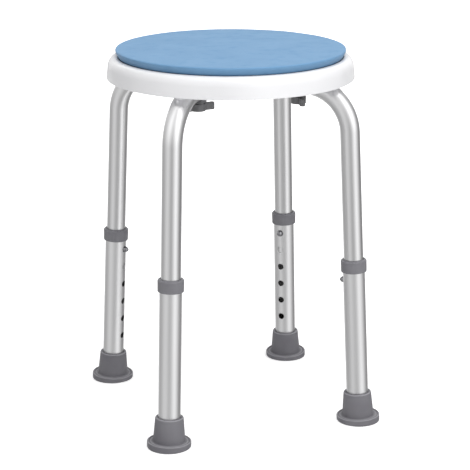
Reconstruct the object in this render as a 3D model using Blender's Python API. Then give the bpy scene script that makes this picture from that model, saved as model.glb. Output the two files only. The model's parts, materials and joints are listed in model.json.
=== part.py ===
# Backless swivel bath stool: a turning padded seat on four telescopic legs.
# Metres, +Z up, the floor is Z = 0 and the front of the stool faces -Y.
# The legs stand at their tallest setting, with each button in its topmost hole.
import math

import bmesh
import bpy
from mathutils import Matrix, Vector

# Fits shared by every piece
GAP = 0.0003             # clearance between neighbouring pieces
EMBED = 0.0010           # depth a rib is sunk into the wall it grows from
OVERCUT = 0.0020         # extra length of a cutter past the face it opens

# Leg layout
FOOT_CIRCLE = 0.1864     # radius of the leg axes at the floor
LEG_TILT = math.radians(2.75)
RUN_HEIGHT = 0.4450      # centre line of the level run under the seat
RUN_INNER = 0.0600       # radius at which the run ends
BEND_RADIUS = 0.0600

# Tubes and their height setting
UPPER_RADIUS = 0.0127
UPPER_WALL = 0.0012
LOWER_WALL = 0.0013
HOLE_PITCH = 0.0254
HOLE_COUNT = 6
TOP_HOLE = 0.1924        # distance of the topmost hole from the floor, along the leg
SLEEVE_ABOVE_HOLE = 0.0260
TUBE_BELOW_HOLE = 0.0380

# Snap button and its spring strip
BUTTON_RADIUS = 0.0041
BUTTON_FLANGE = 0.0007
BUTTON_BASE = 0.0010
BUTTON_PROUD = 0.0055
BUTTON_DOME = 0.0027
STRIP_WIDTH = 0.0060
STRIP_THICK = 0.0006
STRIP_LENGTH = 0.0390
STRIP_TAIL = 0.0060
STRIP_FOLD = 0.0026

# Collar and foot
COLLAR_WALL = 0.0022
COLLAR_SKIRT = 0.0140
COLLAR_LIP = 0.0027
COLLAR_EDGE = 0.0006
FOOT_RADIUS = 0.0285
FOOT_FLANGE = 0.0066
FOOT_HEIGHT = 0.0395
FOOT_WALL = 0.0037
FOOT_SWELL = 0.0022      # growth of the foot's cone from top to flange
FOOT_SOLE = 0.0080
FOOT_EDGE = 0.0009
FOOT_FLARE = 0.0014      # size of the fillet between cone and flange
WASHER_THICK = 0.0016

# Seat shell
SEAT_RADIUS = 0.1615
SKIRT_ABOVE_RUN = 0.0025 # height of the skirt's edge above the centre line of the tubes' runs
SKIRT_WALL = 0.0040
SKIRT_DRAFT = 0.0015
SKIRT_EDGE = 0.0010
SHOULDER_RISE = 0.0138
SHOULDER_RUN = 0.0100
STRAIGHT_SKIRT = 0.0135
DECK_THICK = 0.0045
RECESS_DEPTH = 0.0058
RIM_WIDTH = 0.0036
RIB_THICK = 0.0030
RIB_HEIGHT = 0.0145
CHANNEL_SIDE = 0.0023    # air between the tube and the channel wall
CRADLE_THICK = 0.0040
CRADLE_INSET = 0.0080    # distance of the inner cradle from the tube's end

# Turning seat
GLIDE_THICK = 0.0014
GLIDE_RADIUS = 0.1120
GLIDE_WIDTH = 0.0160
PLATE_THICK = 0.0049
PLATE_AIR = 0.0020
PLATE_EDGE = 0.0008
HUB_RADIUS = 0.0150
BUSH_WALL = 0.0037
BOSS_WALL = 0.0065
BOSS_BELOW_RUN = 0.0020  # depth of the boss below the centre line of the tubes' runs
PAD_RADIUS = 0.1495
PAD_THICK = 0.0100
PAD_CROWN = 0.0008
PAD_EDGE = 0.0026
PIVOT_WASHER_RADIUS = 0.0240
PIVOT_WASHER_THICK = 0.0030
SCREW_RADIUS = 0.0030
SCREW_HEAD_RADIUS = 0.0080
SCREW_HEAD = 0.0045
SCREW_EDGE = 0.0015
SCREW_GRIP = 0.0200

# Leg fixing: saddle, hand knob, stud and nut
KNOB_FROM_BEND = 0.0118  # distance of a knob's axis from the end of its tube's bend
STUD_RADIUS = 0.0040
NUT_FLATS = 0.0130
NUT_HEIGHT = 0.0054
NUT_FLOOR = 0.0050       # material between the nut and the tube
SADDLE_LENGTH = 0.0150
SADDLE_FLOOR = 0.0026
SADDLE_CHEEK = 0.0028    # rise of the saddle beside the tube
SADDLE_WIDTH = 0.0170
KNOB_RADIUS = 0.0098
KNOB_HEIGHT = 0.0095
KNOB_FLOOR = 0.0025
WING_SPAN = 0.0232
WING_HALF = 0.0036
WING_CHAMFER = 0.0010

# Mesh resolution
TUBE_SEGMENTS = 20
SEAT_SEGMENTS = 48
SMALL_SEGMENTS = 12
HOLE_SEGMENTS = 10
BEND_STEPS = 7
DOME_STEPS = 3
CROWN_STEPS = 3
ARC_STEPS = 4
SHARP_ANGLE = math.radians(35)

# Azimuth of each leg and the direction its knob's wing points, in degrees
LEGS = (
    ("front_left", 225.0, 10.0),
    ("front_right", 315.0, 263.0),
    ("rear_right", 45.0, 160.0),
    ("rear_left", 135.0, 160.0),
)

# Sizes that follow from the ones above
UPPER_BORE = UPPER_RADIUS - UPPER_WALL
LOWER_BORE = UPPER_RADIUS + GAP
LOWER_RADIUS = LOWER_BORE + LOWER_WALL
BUTTON_HOLE = BUTTON_RADIUS + GAP
SLEEVE_TOP = TOP_HOLE + SLEEVE_ABOVE_HOLE
SLEEVE_BOTTOM = FOOT_SOLE + WASHER_THICK + 2 * GAP
SOCKET = LOWER_RADIUS + GAP
BEND_TURN = math.pi / 2 - LEG_TILT
BEND_START = RUN_HEIGHT / math.cos(LEG_TILT) - BEND_RADIUS * math.tan(BEND_TURN / 2)
CORNER_RADIUS = FOOT_CIRCLE - RUN_HEIGHT * math.tan(LEG_TILT)
BEND_END = CORNER_RADIUS - BEND_RADIUS * math.tan(BEND_TURN / 2)
KNOB_CIRCLE = BEND_END - KNOB_FROM_BEND
SKIRT_BOTTOM = RUN_HEIGHT + SKIRT_ABOVE_RUN
BOSS_BOTTOM = RUN_HEIGHT - BOSS_BELOW_RUN
RIM_TOP = SKIRT_BOTTOM + STRAIGHT_SKIRT + SHOULDER_RISE
RIM_RADIUS = SEAT_RADIUS - SKIRT_DRAFT - SHOULDER_RUN
RECESS_RADIUS = RIM_RADIUS - RIM_WIDTH
DECK_TOP = RIM_TOP - RECESS_DEPTH
DECK_BOTTOM = DECK_TOP - DECK_THICK
BUSH_RADIUS = HUB_RADIUS + GAP + BUSH_WALL
BOSS_BORE = BUSH_RADIUS + GAP
PLATE_RADIUS = RECESS_RADIUS - PLATE_AIR
PLATE_BOTTOM = DECK_TOP + GLIDE_THICK + 2 * GAP
PLATE_TOP = PLATE_BOTTOM + PLATE_THICK
PAD_BOTTOM = PLATE_TOP + GAP
HUB_BOTTOM = BOSS_BOTTOM - GAP
PIVOT_WASHER_TOP = HUB_BOTTOM - GAP
CHANNEL_RADIUS = UPPER_RADIUS + GAP
CHANNEL_WALL = UPPER_RADIUS + CHANNEL_SIDE
RUN_TOP = RUN_HEIGHT + CHANNEL_RADIUS
STUD_HOLE = STUD_RADIUS + GAP
NUT_BOTTOM = RUN_TOP + NUT_FLOOR
SADDLE_BOTTOM = RUN_HEIGHT - CHANNEL_RADIUS - SADDLE_FLOOR
KNOB_TOP = SADDLE_BOTTOM - GAP
KNOB_BOTTOM = KNOB_TOP - KNOB_HEIGHT


def clear_scene():
    for obj in list(bpy.data.objects):
        bpy.data.objects.remove(obj, do_unlink=True)


def circle(radius, height, segments):
    """Points of a level circle about the local Z axis."""
    step = 2 * math.pi / segments
    return [Vector((radius * math.cos(step * i), radius * math.sin(step * i), height))
            for i in range(segments)]


def bridge(bm, lower, upper):
    """Join two rings of vertices; a ring of one vertex is a pole."""
    count = max(len(lower), len(upper))
    for i in range(count):
        j = (i + 1) % count
        if len(lower) == 1:
            bm.faces.new((lower[0], upper[i], upper[j]))
        elif len(upper) == 1:
            bm.faces.new((lower[i], lower[j], upper[0]))
        else:
            bm.faces.new((lower[i], lower[j], upper[j], upper[i]))


def turned(profile, segments):
    """A profile of (radius, height) points turned about Z.
    A profile that leaves the axis at both ends is closed into a ring."""
    bm = bmesh.new()
    rings = []
    for radius, height in profile:
        points = circle(radius, height, segments) if radius else [Vector((0, 0, height))]
        rings.append([bm.verts.new(point) for point in points])
    for lower, upper in zip(rings, rings[1:]):
        bridge(bm, lower, upper)
    if profile[0][0]:
        bridge(bm, rings[-1], rings[0])
    return bm


def tube_rings(stations, radius):
    """Rings of points round stations of (centre, tangent) that lie in the local XZ plane."""
    side = Vector((0, 1, 0))
    rings = []
    for centre, tangent in stations:
        normal = side.cross(tangent)
        rings.append([centre + normal * p.x + side * p.y for p in circle(radius, 0, TUBE_SEGMENTS)])
    return rings


def swept(stations, outer, inner):
    """An open-ended tube along the stations."""
    bm = bmesh.new()
    skins = []
    for radius in (outer, inner):
        rings = [[bm.verts.new(point) for point in ring] for ring in tube_rings(stations, radius)]
        for lower, upper in zip(rings, rings[1:]):
            bridge(bm, lower, upper)
        skins.append(rings)
    bridge(bm, skins[0][0], skins[1][0])
    bridge(bm, skins[0][-1], skins[1][-1])
    return bm


def prism(rings):
    """A closed stack of equal rings of points, capped at both ends."""
    bm = bmesh.new()
    loops = [[bm.verts.new(point) for point in ring] for ring in rings]
    for lower, upper in zip(loops, loops[1:]):
        bridge(bm, lower, upper)
    bm.faces.new(loops[0])
    bm.faces.new(loops[-1])
    return bm


def looped(rings):
    """A closed stack of equal rings of points whose last ring joins the first."""
    bm = bmesh.new()
    loops = [[bm.verts.new(point) for point in ring] for ring in rings]
    for lower, upper in zip(loops, loops[1:] + loops[:1]):
        bridge(bm, lower, upper)
    return bm


def block(x_range, y_range, z_range):
    """A box between two limits on each axis."""
    corners = ((0, 0), (1, 0), (1, 1), (0, 1))
    return prism([[Vector((x_range[i], y_range[j], z)) for i, j in corners] for z in z_range])


def cylinder(radius, bottom, top, segments):
    return turned(((0, bottom), (radius, bottom), (radius, top), (0, top)), segments)


def solid(name, bm, frame=Matrix()):
    """Turn a bmesh into a linked object whose local axes are the given frame."""
    bmesh.ops.recalc_face_normals(bm, faces=bm.faces)
    mesh = bpy.data.meshes.new(name)
    bm.to_mesh(mesh)
    bm.free()
    obj = bpy.data.objects.new(name, mesh)
    obj.matrix_world = frame
    bpy.context.scene.collection.objects.link(obj)
    return obj


def combine(target, tools, operation):
    """Join to or cut from the target with each tool, then remove the tools."""
    for tool in tools:
        modifier = target.modifiers.new(tool.name, "BOOLEAN")
        modifier.operation = operation
        modifier.solver = "EXACT"
        modifier.object = tool
    bpy.context.view_layer.update()
    graph = bpy.context.evaluated_depsgraph_get()
    mesh = bpy.data.meshes.new_from_object(target.evaluated_get(graph))
    target.modifiers.clear()
    target.data = mesh
    mesh.name = target.name
    for tool in tools:
        bpy.data.objects.remove(tool, do_unlink=True)


def finish(obj, colour, roughness, metallic=0.0):
    """Smooth shading that keeps real corners, and the piece's own material."""
    mesh = obj.data
    mesh.shade_smooth()
    mesh.set_sharp_from_angle(angle=SHARP_ANGLE)
    material = bpy.data.materials.new(obj.name)
    material.use_nodes = True
    shader = material.node_tree.nodes["Principled BSDF"]
    shader.inputs["Base Color"].default_value = (*colour, 1)
    shader.inputs["Roughness"].default_value = roughness
    shader.inputs["Metallic"].default_value = metallic
    mesh.materials.clear()
    mesh.materials.append(material)


def white_plastic(obj):
    finish(obj, (0.86, 0.86, 0.85), 0.35)


def grey_plastic(obj):
    finish(obj, (0.14, 0.14, 0.15), 0.50)


def aluminium(obj):
    finish(obj, (0.62, 0.62, 0.63), 0.30, 1.0)


def steel(obj):
    finish(obj, (0.55, 0.55, 0.55), 0.25, 1.0)


def turn_about_z(angle):
    return Matrix.Rotation(angle, 4, "Z")


def leg_frame(azimuth):
    """Origin where the leg axis meets the floor, Z up the leg, X toward the stool axis."""
    lean = Matrix.Rotation(math.pi, 4, "Z") @ Matrix.Rotation(LEG_TILT, 4, "Y")
    return turn_about_z(azimuth) @ Matrix.Translation((FOOT_CIRCLE, 0, 0)) @ lean


def radial_frame(azimuth, radius, height=0.0):
    """Level frame on a leg's azimuth with X pointing outward."""
    return turn_about_z(azimuth) @ Matrix.Translation((radius, 0, height))


def fixing_frame(azimuth):
    """Level frame on a knob's axis, turned so that no corner of a hole meets the tube's top line."""
    return radial_frame(azimuth, KNOB_CIRCLE) @ turn_about_z(math.pi / SMALL_SEGMENTS)


def button_frame(azimuth):
    """Frame on the button axis: Z points out of the leg toward the stool axis."""
    lift = Matrix.Translation((0, 0, TOP_HOLE))
    return leg_frame(azimuth) @ lift @ Matrix.Rotation(math.pi / 2, 4, "Y")


def upper_stations():
    """Straight length, bend and level run of an upper tube in the leg frame."""
    up = Vector((0, 0, 1))
    stations = [(up * (TOP_HOLE - TUBE_BELOW_HOLE), up)]
    for i in range(BEND_STEPS + 1):
        turn = BEND_TURN * i / BEND_STEPS
        out = BEND_RADIUS * (1 - math.cos(turn))
        centre = Vector((out, 0, BEND_START + BEND_RADIUS * math.sin(turn)))
        stations.append((centre, Vector((math.sin(turn), 0, math.cos(turn)))))
    end, along = stations[-1]
    stations.append((end + along * (BEND_END - RUN_INNER), along))
    return stations


def tube_space(azimuth):
    """The room an upper tube needs, as a cutter for the pieces around it."""
    stations = upper_stations()
    end, along = stations[-1]
    stations[-1] = (end + along * OVERCUT, along)
    return solid("cut_tube", prism(tube_rings(stations, CHANNEL_RADIUS)), leg_frame(azimuth))


def build_upper_leg(tag, azimuth):
    frame = leg_frame(azimuth)
    tube = solid("leg_upper_" + tag, swept(upper_stations(), UPPER_RADIUS, UPPER_BORE), frame)
    through = UPPER_RADIUS + OVERCUT
    hole = cylinder(STUD_HOLE, RUN_HEIGHT - through, RUN_HEIGHT + through, SMALL_SEGMENTS)
    stud = solid("cut_stud", hole, fixing_frame(azimuth))
    button = solid("cut_button", cylinder(BUTTON_HOLE, 0, through, HOLE_SEGMENTS), button_frame(azimuth))
    combine(tube, (stud, button), "DIFFERENCE")
    aluminium(tube)


def build_lower_leg(tag, azimuth):
    frame = leg_frame(azimuth)
    up = Vector((0, 0, 1))
    stations = ((up * SLEEVE_BOTTOM, up), (up * SLEEVE_TOP, up))
    tube = solid("leg_lower_" + tag, swept(stations, LOWER_RADIUS, LOWER_BORE), frame)
    holes = []
    for i in range(HOLE_COUNT):
        place = button_frame(azimuth) @ Matrix.Translation((HOLE_PITCH * i, 0, 0))
        hole = cylinder(BUTTON_HOLE, 0, LOWER_RADIUS + OVERCUT, HOLE_SEGMENTS)
        holes.append(solid("cut_hole", hole, place))
    combine(tube, holes, "DIFFERENCE")
    aluminium(tube)


def build_button(tag, azimuth):
    """Domed pin with a flange that stops against the inside of the upper tube."""
    flange = BUTTON_RADIUS + BUTTON_FLANGE
    face = math.sqrt((UPPER_BORE - GAP) ** 2 - flange ** 2)
    tip = LOWER_RADIUS + BUTTON_PROUD
    profile = [(0, face - BUTTON_BASE), (flange, face - BUTTON_BASE), (flange, face), (BUTTON_RADIUS, face)]
    for i in range(DOME_STEPS):
        turn = math.pi / 2 * i / DOME_STEPS
        profile.append((BUTTON_RADIUS * math.cos(turn), tip - BUTTON_DOME + BUTTON_DOME * math.sin(turn)))
    profile.append((0, tip))
    steel(solid("snap_button_" + tag, turned(profile, SMALL_SEGMENTS), button_frame(azimuth)))
    return face - BUTTON_BASE


def build_spring(tag, azimuth, button_back):
    """Spring strip folded like a hairpin inside the upper tube, behind the button."""
    near = button_back - GAP - STRIP_THICK / 2
    far = -math.sqrt((UPPER_BORE - GAP) ** 2 - (STRIP_WIDTH / 2) ** 2) + STRIP_THICK / 2
    middle = (near + far) / 2
    line = ((near, -STRIP_TAIL), (near, STRIP_TAIL), (middle + STRIP_FOLD, STRIP_LENGTH - STRIP_FOLD),
            (middle, STRIP_LENGTH), (middle - STRIP_FOLD, STRIP_LENGTH - STRIP_FOLD),
            (far, 0), (far, -STRIP_TAIL))
    points = [Vector((x, 0, z)) for x, z in line]
    rings = []
    for i, point in enumerate(points):
        before = points[max(i - 1, 0)]
        after = points[min(i + 1, len(points) - 1)]
        across = Vector((0, 1, 0)).cross((after - before).normalized()) * STRIP_THICK / 2
        wide = Vector((0, STRIP_WIDTH / 2, 0))
        rings.append((point + across + wide, point + across - wide,
                      point - across - wide, point - across + wide))
    frame = leg_frame(azimuth) @ Matrix.Translation((0, 0, TOP_HOLE))
    steel(solid("snap_spring_" + tag, prism(rings), frame))


def build_collar(tag, azimuth):
    """Cap ring on the sleeve's top end; its lip guides the upper tube."""
    outer = SOCKET + COLLAR_WALL
    seat = SLEEVE_TOP + GAP
    top = seat + COLLAR_LIP
    bottom = seat - COLLAR_SKIRT
    profile = ((SOCKET, bottom), (outer, bottom), (outer, top - 3 * COLLAR_EDGE),
               (outer - COLLAR_EDGE, top - COLLAR_EDGE), (outer - 3 * COLLAR_EDGE, top),
               (LOWER_BORE + COLLAR_EDGE, top), (LOWER_BORE, seat), (SOCKET, seat))
    grey_plastic(solid("collar_" + tag, turned(profile, TUBE_SEGMENTS), leg_frame(azimuth)))


def build_foot(tag, azimuth):
    """Rubber tip with a wide flange; its sole is cut level although the leg leans."""
    top = SOCKET + FOOT_WALL
    waist = top + FOOT_SWELL
    ledge = FOOT_FLANGE + 2 * FOOT_EDGE
    sole = ((0, 0), (FOOT_RADIUS - FOOT_EDGE, 0), (FOOT_RADIUS, FOOT_EDGE))
    body = ((FOOT_RADIUS, FOOT_FLANGE), (FOOT_RADIUS - 2 * FOOT_EDGE, ledge),
            (waist + FOOT_FLARE / 2, ledge + FOOT_EDGE), (waist, ledge + FOOT_FLARE),
            (top, FOOT_HEIGHT - FOOT_EDGE), (top - FOOT_EDGE, FOOT_HEIGHT), (SOCKET, FOOT_HEIGHT),
            (SOCKET, FOOT_SOLE), (0, FOOT_SOLE))
    bm = turned(sole + body, TUBE_SEGMENTS)
    for vert in bm.verts:
        if vert.co.z <= FOOT_EDGE:
            vert.co.z += vert.co.x * math.tan(LEG_TILT)
    grey_plastic(solid("foot_" + tag, bm, leg_frame(azimuth)))
    bottom = FOOT_SOLE + GAP
    disc = cylinder(LOWER_RADIUS, bottom, bottom + WASHER_THICK, TUBE_SEGMENTS)
    steel(solid("foot_washer_" + tag, disc, leg_frame(azimuth)))


def build_saddle(tag, azimuth):
    """Spacer between the knob and the tube, hollowed to fit round the tube."""
    half = SADDLE_LENGTH / 2
    side = SADDLE_WIDTH / 2
    rise = RUN_HEIGHT - CHANNEL_RADIUS + SADDLE_CHEEK
    frame = radial_frame(azimuth, KNOB_CIRCLE)
    saddle = solid("leg_saddle_" + tag, block((-half, half), (-side, side), (SADDLE_BOTTOM, rise)), frame)
    tube = tube_space(azimuth)
    hole = cylinder(STUD_HOLE, SADDLE_BOTTOM - OVERCUT, rise, SMALL_SEGMENTS)
    combine(saddle, (tube, solid("cut_stud", hole, fixing_frame(azimuth))), "DIFFERENCE")
    grey_plastic(saddle)


def wing_outline(inset):
    """Plan outline of the knob: a round hub with two opposite wings."""
    radius = KNOB_RADIUS - inset
    half = WING_HALF - inset
    root = math.asin(half / radius)
    points = []
    for turn in (0.0, math.pi):
        for i in range(ARC_STEPS + 1):
            angle = -math.pi / 2 + math.pi * i / ARC_STEPS
            x = WING_SPAN - WING_HALF + half * math.cos(angle)
            points.append((x * math.cos(turn), half * math.sin(angle) * math.cos(turn)))
        for i in range(ARC_STEPS + 1):
            angle = turn + root + (math.pi - 2 * root) * i / ARC_STEPS
            points.append((radius * math.cos(angle), radius * math.sin(angle)))
    return points


def build_knob(tag, azimuth, wing):
    """Hand knob with two wings and its steel stud, on a vertical axis."""
    frame = radial_frame(azimuth, KNOB_CIRCLE) @ turn_about_z(math.radians(wing) - azimuth)
    levels = ((WING_CHAMFER, KNOB_BOTTOM), (0, KNOB_BOTTOM + WING_CHAMFER),
              (0, KNOB_TOP - WING_CHAMFER), (WING_CHAMFER, KNOB_TOP))
    rings = [[Vector((x, y, z)) for x, y in wing_outline(inset)] for inset, z in levels]
    knob = solid("leg_knob_" + tag, prism(rings), frame)
    floor = KNOB_BOTTOM + KNOB_FLOOR
    hole = solid("cut_stud", cylinder(STUD_HOLE, floor, KNOB_TOP + OVERCUT, HOLE_SEGMENTS), frame)
    combine(knob, (hole,), "DIFFERENCE")
    grey_plastic(knob)
    stud = cylinder(STUD_RADIUS, floor + GAP, NUT_BOTTOM + NUT_HEIGHT - GAP, HOLE_SEGMENTS)
    steel(solid("knob_stud_" + tag, stud, frame))


def hexagon(flats, height):
    """Points of a level hexagon that match a circle of as many segments."""
    points = []
    for point in circle(1.0, height, SMALL_SEGMENTS):
        angle = math.atan2(point.y, point.x) % (math.pi / 3) - math.pi / 6
        reach = flats / 2 / math.cos(angle)
        points.append(Vector((reach * point.x, reach * point.y, height)))
    return points


def build_nut(tag, azimuth):
    """Hexagon nut held in a pocket in the deck of the shell."""
    low = NUT_BOTTOM + GAP
    high = low + NUT_HEIGHT
    rings = (circle(STUD_HOLE, low, SMALL_SEGMENTS), hexagon(NUT_FLATS, low),
             hexagon(NUT_FLATS, high), circle(STUD_HOLE, high, SMALL_SEGMENTS))
    steel(solid("captive_nut_" + tag, looped(rings), fixing_frame(azimuth)))


def shell_profile():
    """Section of the white shell: skirt, rounded shoulder, rim, recess and deck."""
    waist = SKIRT_BOTTOM + STRAIGHT_SKIRT
    points = [(SEAT_RADIUS - SKIRT_WALL, SKIRT_BOTTOM), (SEAT_RADIUS - SKIRT_EDGE, SKIRT_BOTTOM),
              (SEAT_RADIUS, SKIRT_BOTTOM + SKIRT_EDGE)]
    for i in range(ARC_STEPS + 1):
        turn = math.pi / 2 * i / ARC_STEPS
        points.append((RIM_RADIUS + SHOULDER_RUN * math.cos(turn), waist + SHOULDER_RISE * math.sin(turn)))
    points += [(RECESS_RADIUS, RIM_TOP), (RECESS_RADIUS, DECK_TOP), (BOSS_BORE, DECK_TOP),
               (BOSS_BORE, DECK_BOTTOM), (SEAT_RADIUS - SKIRT_DRAFT - SKIRT_WALL, DECK_BOTTOM)]
    return points


def shell_ribs():
    """Walls that grow from the underside of the deck."""
    top = DECK_BOTTOM + EMBED
    low = DECK_BOTTOM - RIB_HEIGHT
    hub = BOSS_BORE + BOSS_WALL
    skirt = SEAT_RADIUS - SKIRT_DRAFT - SKIRT_WALL + EMBED
    tools = [solid("add_boss", cylinder(hub, BOSS_BOTTOM, top, TUBE_SEGMENTS))]
    for _, degrees, _ in LEGS:
        azimuth = math.radians(degrees)
        frame = turn_about_z(azimuth)
        for side in (-1, 1):
            inner = side * CHANNEL_WALL
            wall = sorted((inner, inner + side * RIB_THICK))
            tools.append(solid("add_wall", block((hub - EMBED, skirt), wall, (low, top)), frame))
        for radius in (RUN_INNER + CRADLE_INSET, BEND_END - GAP):
            near = (radius - CRADLE_THICK / 2, radius + CRADLE_THICK / 2)
            wide = (-CHANNEL_WALL - EMBED, CHANNEL_WALL + EMBED)
            tools.append(solid("add_cradle", block(near, wide, (low - EMBED, top)), frame))
        post = cylinder(NUT_FLATS, RUN_HEIGHT + UPPER_BORE, top, SMALL_SEGMENTS)
        tools.append(solid("add_post", post, fixing_frame(azimuth)))
        between = turn_about_z(azimuth + math.pi / 4)
        half = RIB_THICK / 2
        tools.append(solid("add_rib", block((hub - EMBED, skirt), (-half, half), (low, top)), between))
    return tools


def shell_cuts():
    """Pivot bore, and over each leg the tube channel and a stud hole that widens to the nut's pocket."""
    tools = [solid("cut_bore", cylinder(BOSS_BORE, BOSS_BOTTOM - OVERCUT, RIM_TOP, TUBE_SEGMENTS))]
    pocket = NUT_FLATS + 2 * GAP
    rings = [circle(STUD_HOLE, height, SMALL_SEGMENTS) for height in (RUN_HEIGHT, NUT_BOTTOM)]
    rings += [hexagon(pocket, height) for height in (NUT_BOTTOM, RIM_TOP)]
    for _, degrees, _ in LEGS:
        azimuth = math.radians(degrees)
        tools.append(tube_space(azimuth))
        tools.append(solid("cut_pocket", prism(rings), fixing_frame(azimuth)))
    return tools


def build_shell():
    shell = solid("seat_shell", turned(shell_profile(), SEAT_SEGMENTS))
    combine(shell, shell_ribs(), "UNION")
    combine(shell, shell_cuts(), "DIFFERENCE")
    white_plastic(shell)


def build_pivot():
    """Bush and glide ring that stay with the shell."""
    inner = HUB_RADIUS + GAP
    bush = ((inner, BOSS_BOTTOM + GAP), (BUSH_RADIUS, BOSS_BOTTOM + GAP),
            (BUSH_RADIUS, DECK_TOP - GAP), (inner, DECK_TOP - GAP))
    grey_plastic(solid("pivot_bush", turned(bush, TUBE_SEGMENTS)))
    low = DECK_TOP + GAP
    ring = ((GLIDE_RADIUS - GLIDE_WIDTH, low), (GLIDE_RADIUS, low),
            (GLIDE_RADIUS, low + GLIDE_THICK), (GLIDE_RADIUS - GLIDE_WIDTH, low + GLIDE_THICK))
    grey_plastic(solid("glide_ring", turned(ring, SEAT_SEGMENTS)))


def build_turntable():
    """Round plate with a hub through the shell, held from below by washer and screw."""
    bore = SCREW_RADIUS + GAP
    depth = HUB_BOTTOM + SCREW_GRIP
    plate = ((0, PLATE_TOP), (PLATE_RADIUS - PLATE_EDGE, PLATE_TOP), (PLATE_RADIUS, PLATE_TOP - PLATE_EDGE),
             (PLATE_RADIUS, PLATE_BOTTOM), (HUB_RADIUS, PLATE_BOTTOM), (HUB_RADIUS, HUB_BOTTOM),
             (bore, HUB_BOTTOM), (bore, depth), (0, depth))
    finish(solid("turntable", turned(plate, SEAT_SEGMENTS)), (0.05, 0.08, 0.14), 0.5)
    low = PIVOT_WASHER_TOP - PIVOT_WASHER_THICK
    washer = ((bore, low), (PIVOT_WASHER_RADIUS, low), (PIVOT_WASHER_RADIUS, PIVOT_WASHER_TOP),
              (bore, PIVOT_WASHER_TOP))
    steel(solid("pivot_washer", turned(washer, TUBE_SEGMENTS)))
    head = low - GAP
    screw = ((0, head - SCREW_HEAD), (SCREW_HEAD_RADIUS - SCREW_EDGE, head - SCREW_HEAD),
             (SCREW_HEAD_RADIUS, head - SCREW_HEAD + SCREW_EDGE), (SCREW_HEAD_RADIUS, head),
             (SCREW_RADIUS, head), (SCREW_RADIUS, depth - GAP), (0, depth - GAP))
    steel(solid("pivot_screw", turned(screw, SMALL_SEGMENTS)))


def build_pad():
    """Soft foam pad on the turntable, crowned and rounded at its edge."""
    top = PAD_BOTTOM + PAD_THICK
    side = top - PAD_CROWN - PAD_EDGE
    profile = [(0, PAD_BOTTOM), (PAD_RADIUS - PAD_EDGE / 2, PAD_BOTTOM),
               (PAD_RADIUS, PAD_BOTTOM + PAD_EDGE / 2)]
    rim = PAD_RADIUS - PAD_EDGE
    for i in range(ARC_STEPS + 1):
        turn = math.pi / 2 * i / ARC_STEPS
        profile.append((rim + PAD_EDGE * math.cos(turn), side + PAD_EDGE * math.sin(turn)))
    for i in range(1, CROWN_STEPS):
        reach = 1 - i / CROWN_STEPS
        profile.append((rim * reach, top - PAD_CROWN * reach ** 2))
    profile.append((0, top))
    finish(solid("seat_pad", turned(profile, SEAT_SEGMENTS)), (0.24, 0.42, 0.66), 0.6)


def build_leg(tag, degrees, wing):
    azimuth = math.radians(degrees)
    build_upper_leg(tag, azimuth)
    build_lower_leg(tag, azimuth)
    build_spring(tag, azimuth, build_button(tag, azimuth))
    build_collar(tag, azimuth)
    build_foot(tag, azimuth)
    build_saddle(tag, azimuth)
    build_knob(tag, azimuth, wing)
    build_nut(tag, azimuth)


clear_scene()
build_shell()
build_pivot()
build_turntable()
build_pad()
for leg in LEGS:
    build_leg(*leg)
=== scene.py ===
import json
import math

import bmesh
import bpy
from mathutils import Matrix, Vector


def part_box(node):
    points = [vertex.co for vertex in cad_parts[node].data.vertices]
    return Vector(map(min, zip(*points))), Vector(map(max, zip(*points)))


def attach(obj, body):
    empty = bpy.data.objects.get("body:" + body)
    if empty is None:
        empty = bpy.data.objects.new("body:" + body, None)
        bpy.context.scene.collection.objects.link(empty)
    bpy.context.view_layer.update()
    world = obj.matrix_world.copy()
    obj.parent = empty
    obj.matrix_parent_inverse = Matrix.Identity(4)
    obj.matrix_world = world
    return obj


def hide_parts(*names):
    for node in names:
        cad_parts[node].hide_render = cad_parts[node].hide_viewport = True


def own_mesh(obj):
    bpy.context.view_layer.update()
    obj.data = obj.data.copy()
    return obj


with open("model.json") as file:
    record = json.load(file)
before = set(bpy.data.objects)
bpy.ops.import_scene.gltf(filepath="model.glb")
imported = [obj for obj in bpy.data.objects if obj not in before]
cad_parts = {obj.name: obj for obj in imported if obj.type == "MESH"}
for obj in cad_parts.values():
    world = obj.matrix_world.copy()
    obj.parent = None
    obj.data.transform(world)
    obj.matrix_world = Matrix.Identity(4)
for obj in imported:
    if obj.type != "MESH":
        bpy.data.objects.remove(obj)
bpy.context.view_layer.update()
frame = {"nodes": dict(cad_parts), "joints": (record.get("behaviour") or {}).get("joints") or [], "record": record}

# Seat shell: the fixed white seat, one polypropylene moulding with a skirt, a round shoulder and a
# recessed deck for the turntable. Its satin skin keeps the fine spark-eroded grain of the mould.
shell_low, shell_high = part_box("seat_shell")
shell_radius = shell_high[0]
boss_bottom = shell_low[2]
rim_top = shell_high[2]
skirt_bottom = 0.4475
skirt_wall = 0.0040
skirt_draft = 0.0015
shoulder_run = 0.0100
shoulder_rise = 0.0138
rim_width = 0.0036
recess_depth = 0.0058
deck_thick = 0.0045
boss_bore = 0.0193
boss_wall = 0.0065
boss_draft = 0.0008
shoulder_steps = 14
seat_segments = 192
smooth_below = 40.0
deck_top = rim_top - recess_depth
deck_bottom = deck_top - deck_thick
rim_radius = shell_radius - skirt_draft - shoulder_run
skirt_inside = shell_radius - skirt_draft - skirt_wall


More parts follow.
